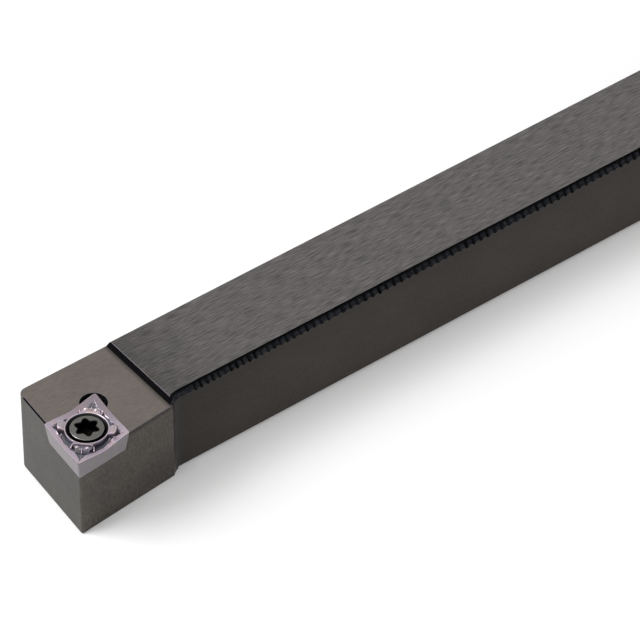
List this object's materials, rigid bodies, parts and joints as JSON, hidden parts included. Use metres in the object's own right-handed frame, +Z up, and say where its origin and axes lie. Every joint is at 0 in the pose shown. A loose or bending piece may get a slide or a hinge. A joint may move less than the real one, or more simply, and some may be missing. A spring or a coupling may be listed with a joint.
{
  "type": "indexable turning toolholder",
  "caption": "Square-shank right-hand turning toolholder with a rhombic cutting insert clamped by a screw in a pocket at its nose.",
  "frame": {"origin": "on the bottom face, under the middle of the shank's width and half way between the insert's nose and the shank's end", "axes": "+X along the shank from the insert's nose to the shank's end, +Y to the far side that the nose offset is measured from, +Z up out of the top face"},
  "size_m": [0.12, 0.012, 0.0101],
  "materials": {
    "ground_steel": "ground, with a blackened chamfer and step",
    "coated_carbide": "thin lilac-grey coating on sintered carbide",
    "dark_screw_steel": "fine turned, dark"
  },
  "bodies": {
    "holder": {"holder_body": "ground_steel"},
    "insert": {"cutting_insert": "coated_carbide"},
    "screw": {"clamp_screw": "dark_screw_steel"}
  },
  "joints": [
    {"name": "insert_lift", "type": "slide", "parent": "holder", "child": "insert", "axis": [0, 0, 1], "range_m": [0, 0.00405]},
    {"name": "screw_turn", "type": "hinge", "parent": "insert", "child": "screw", "pos_m": [-0.05653, -0.00353, 0.01], "axis": [0, 0, 1], "range_deg": [0, 3240]}
  ],
  "couplings": [
    {"joint": "screw_turn", "follows": "insert_lift", "rad_per_m": 13963}
  ]
}
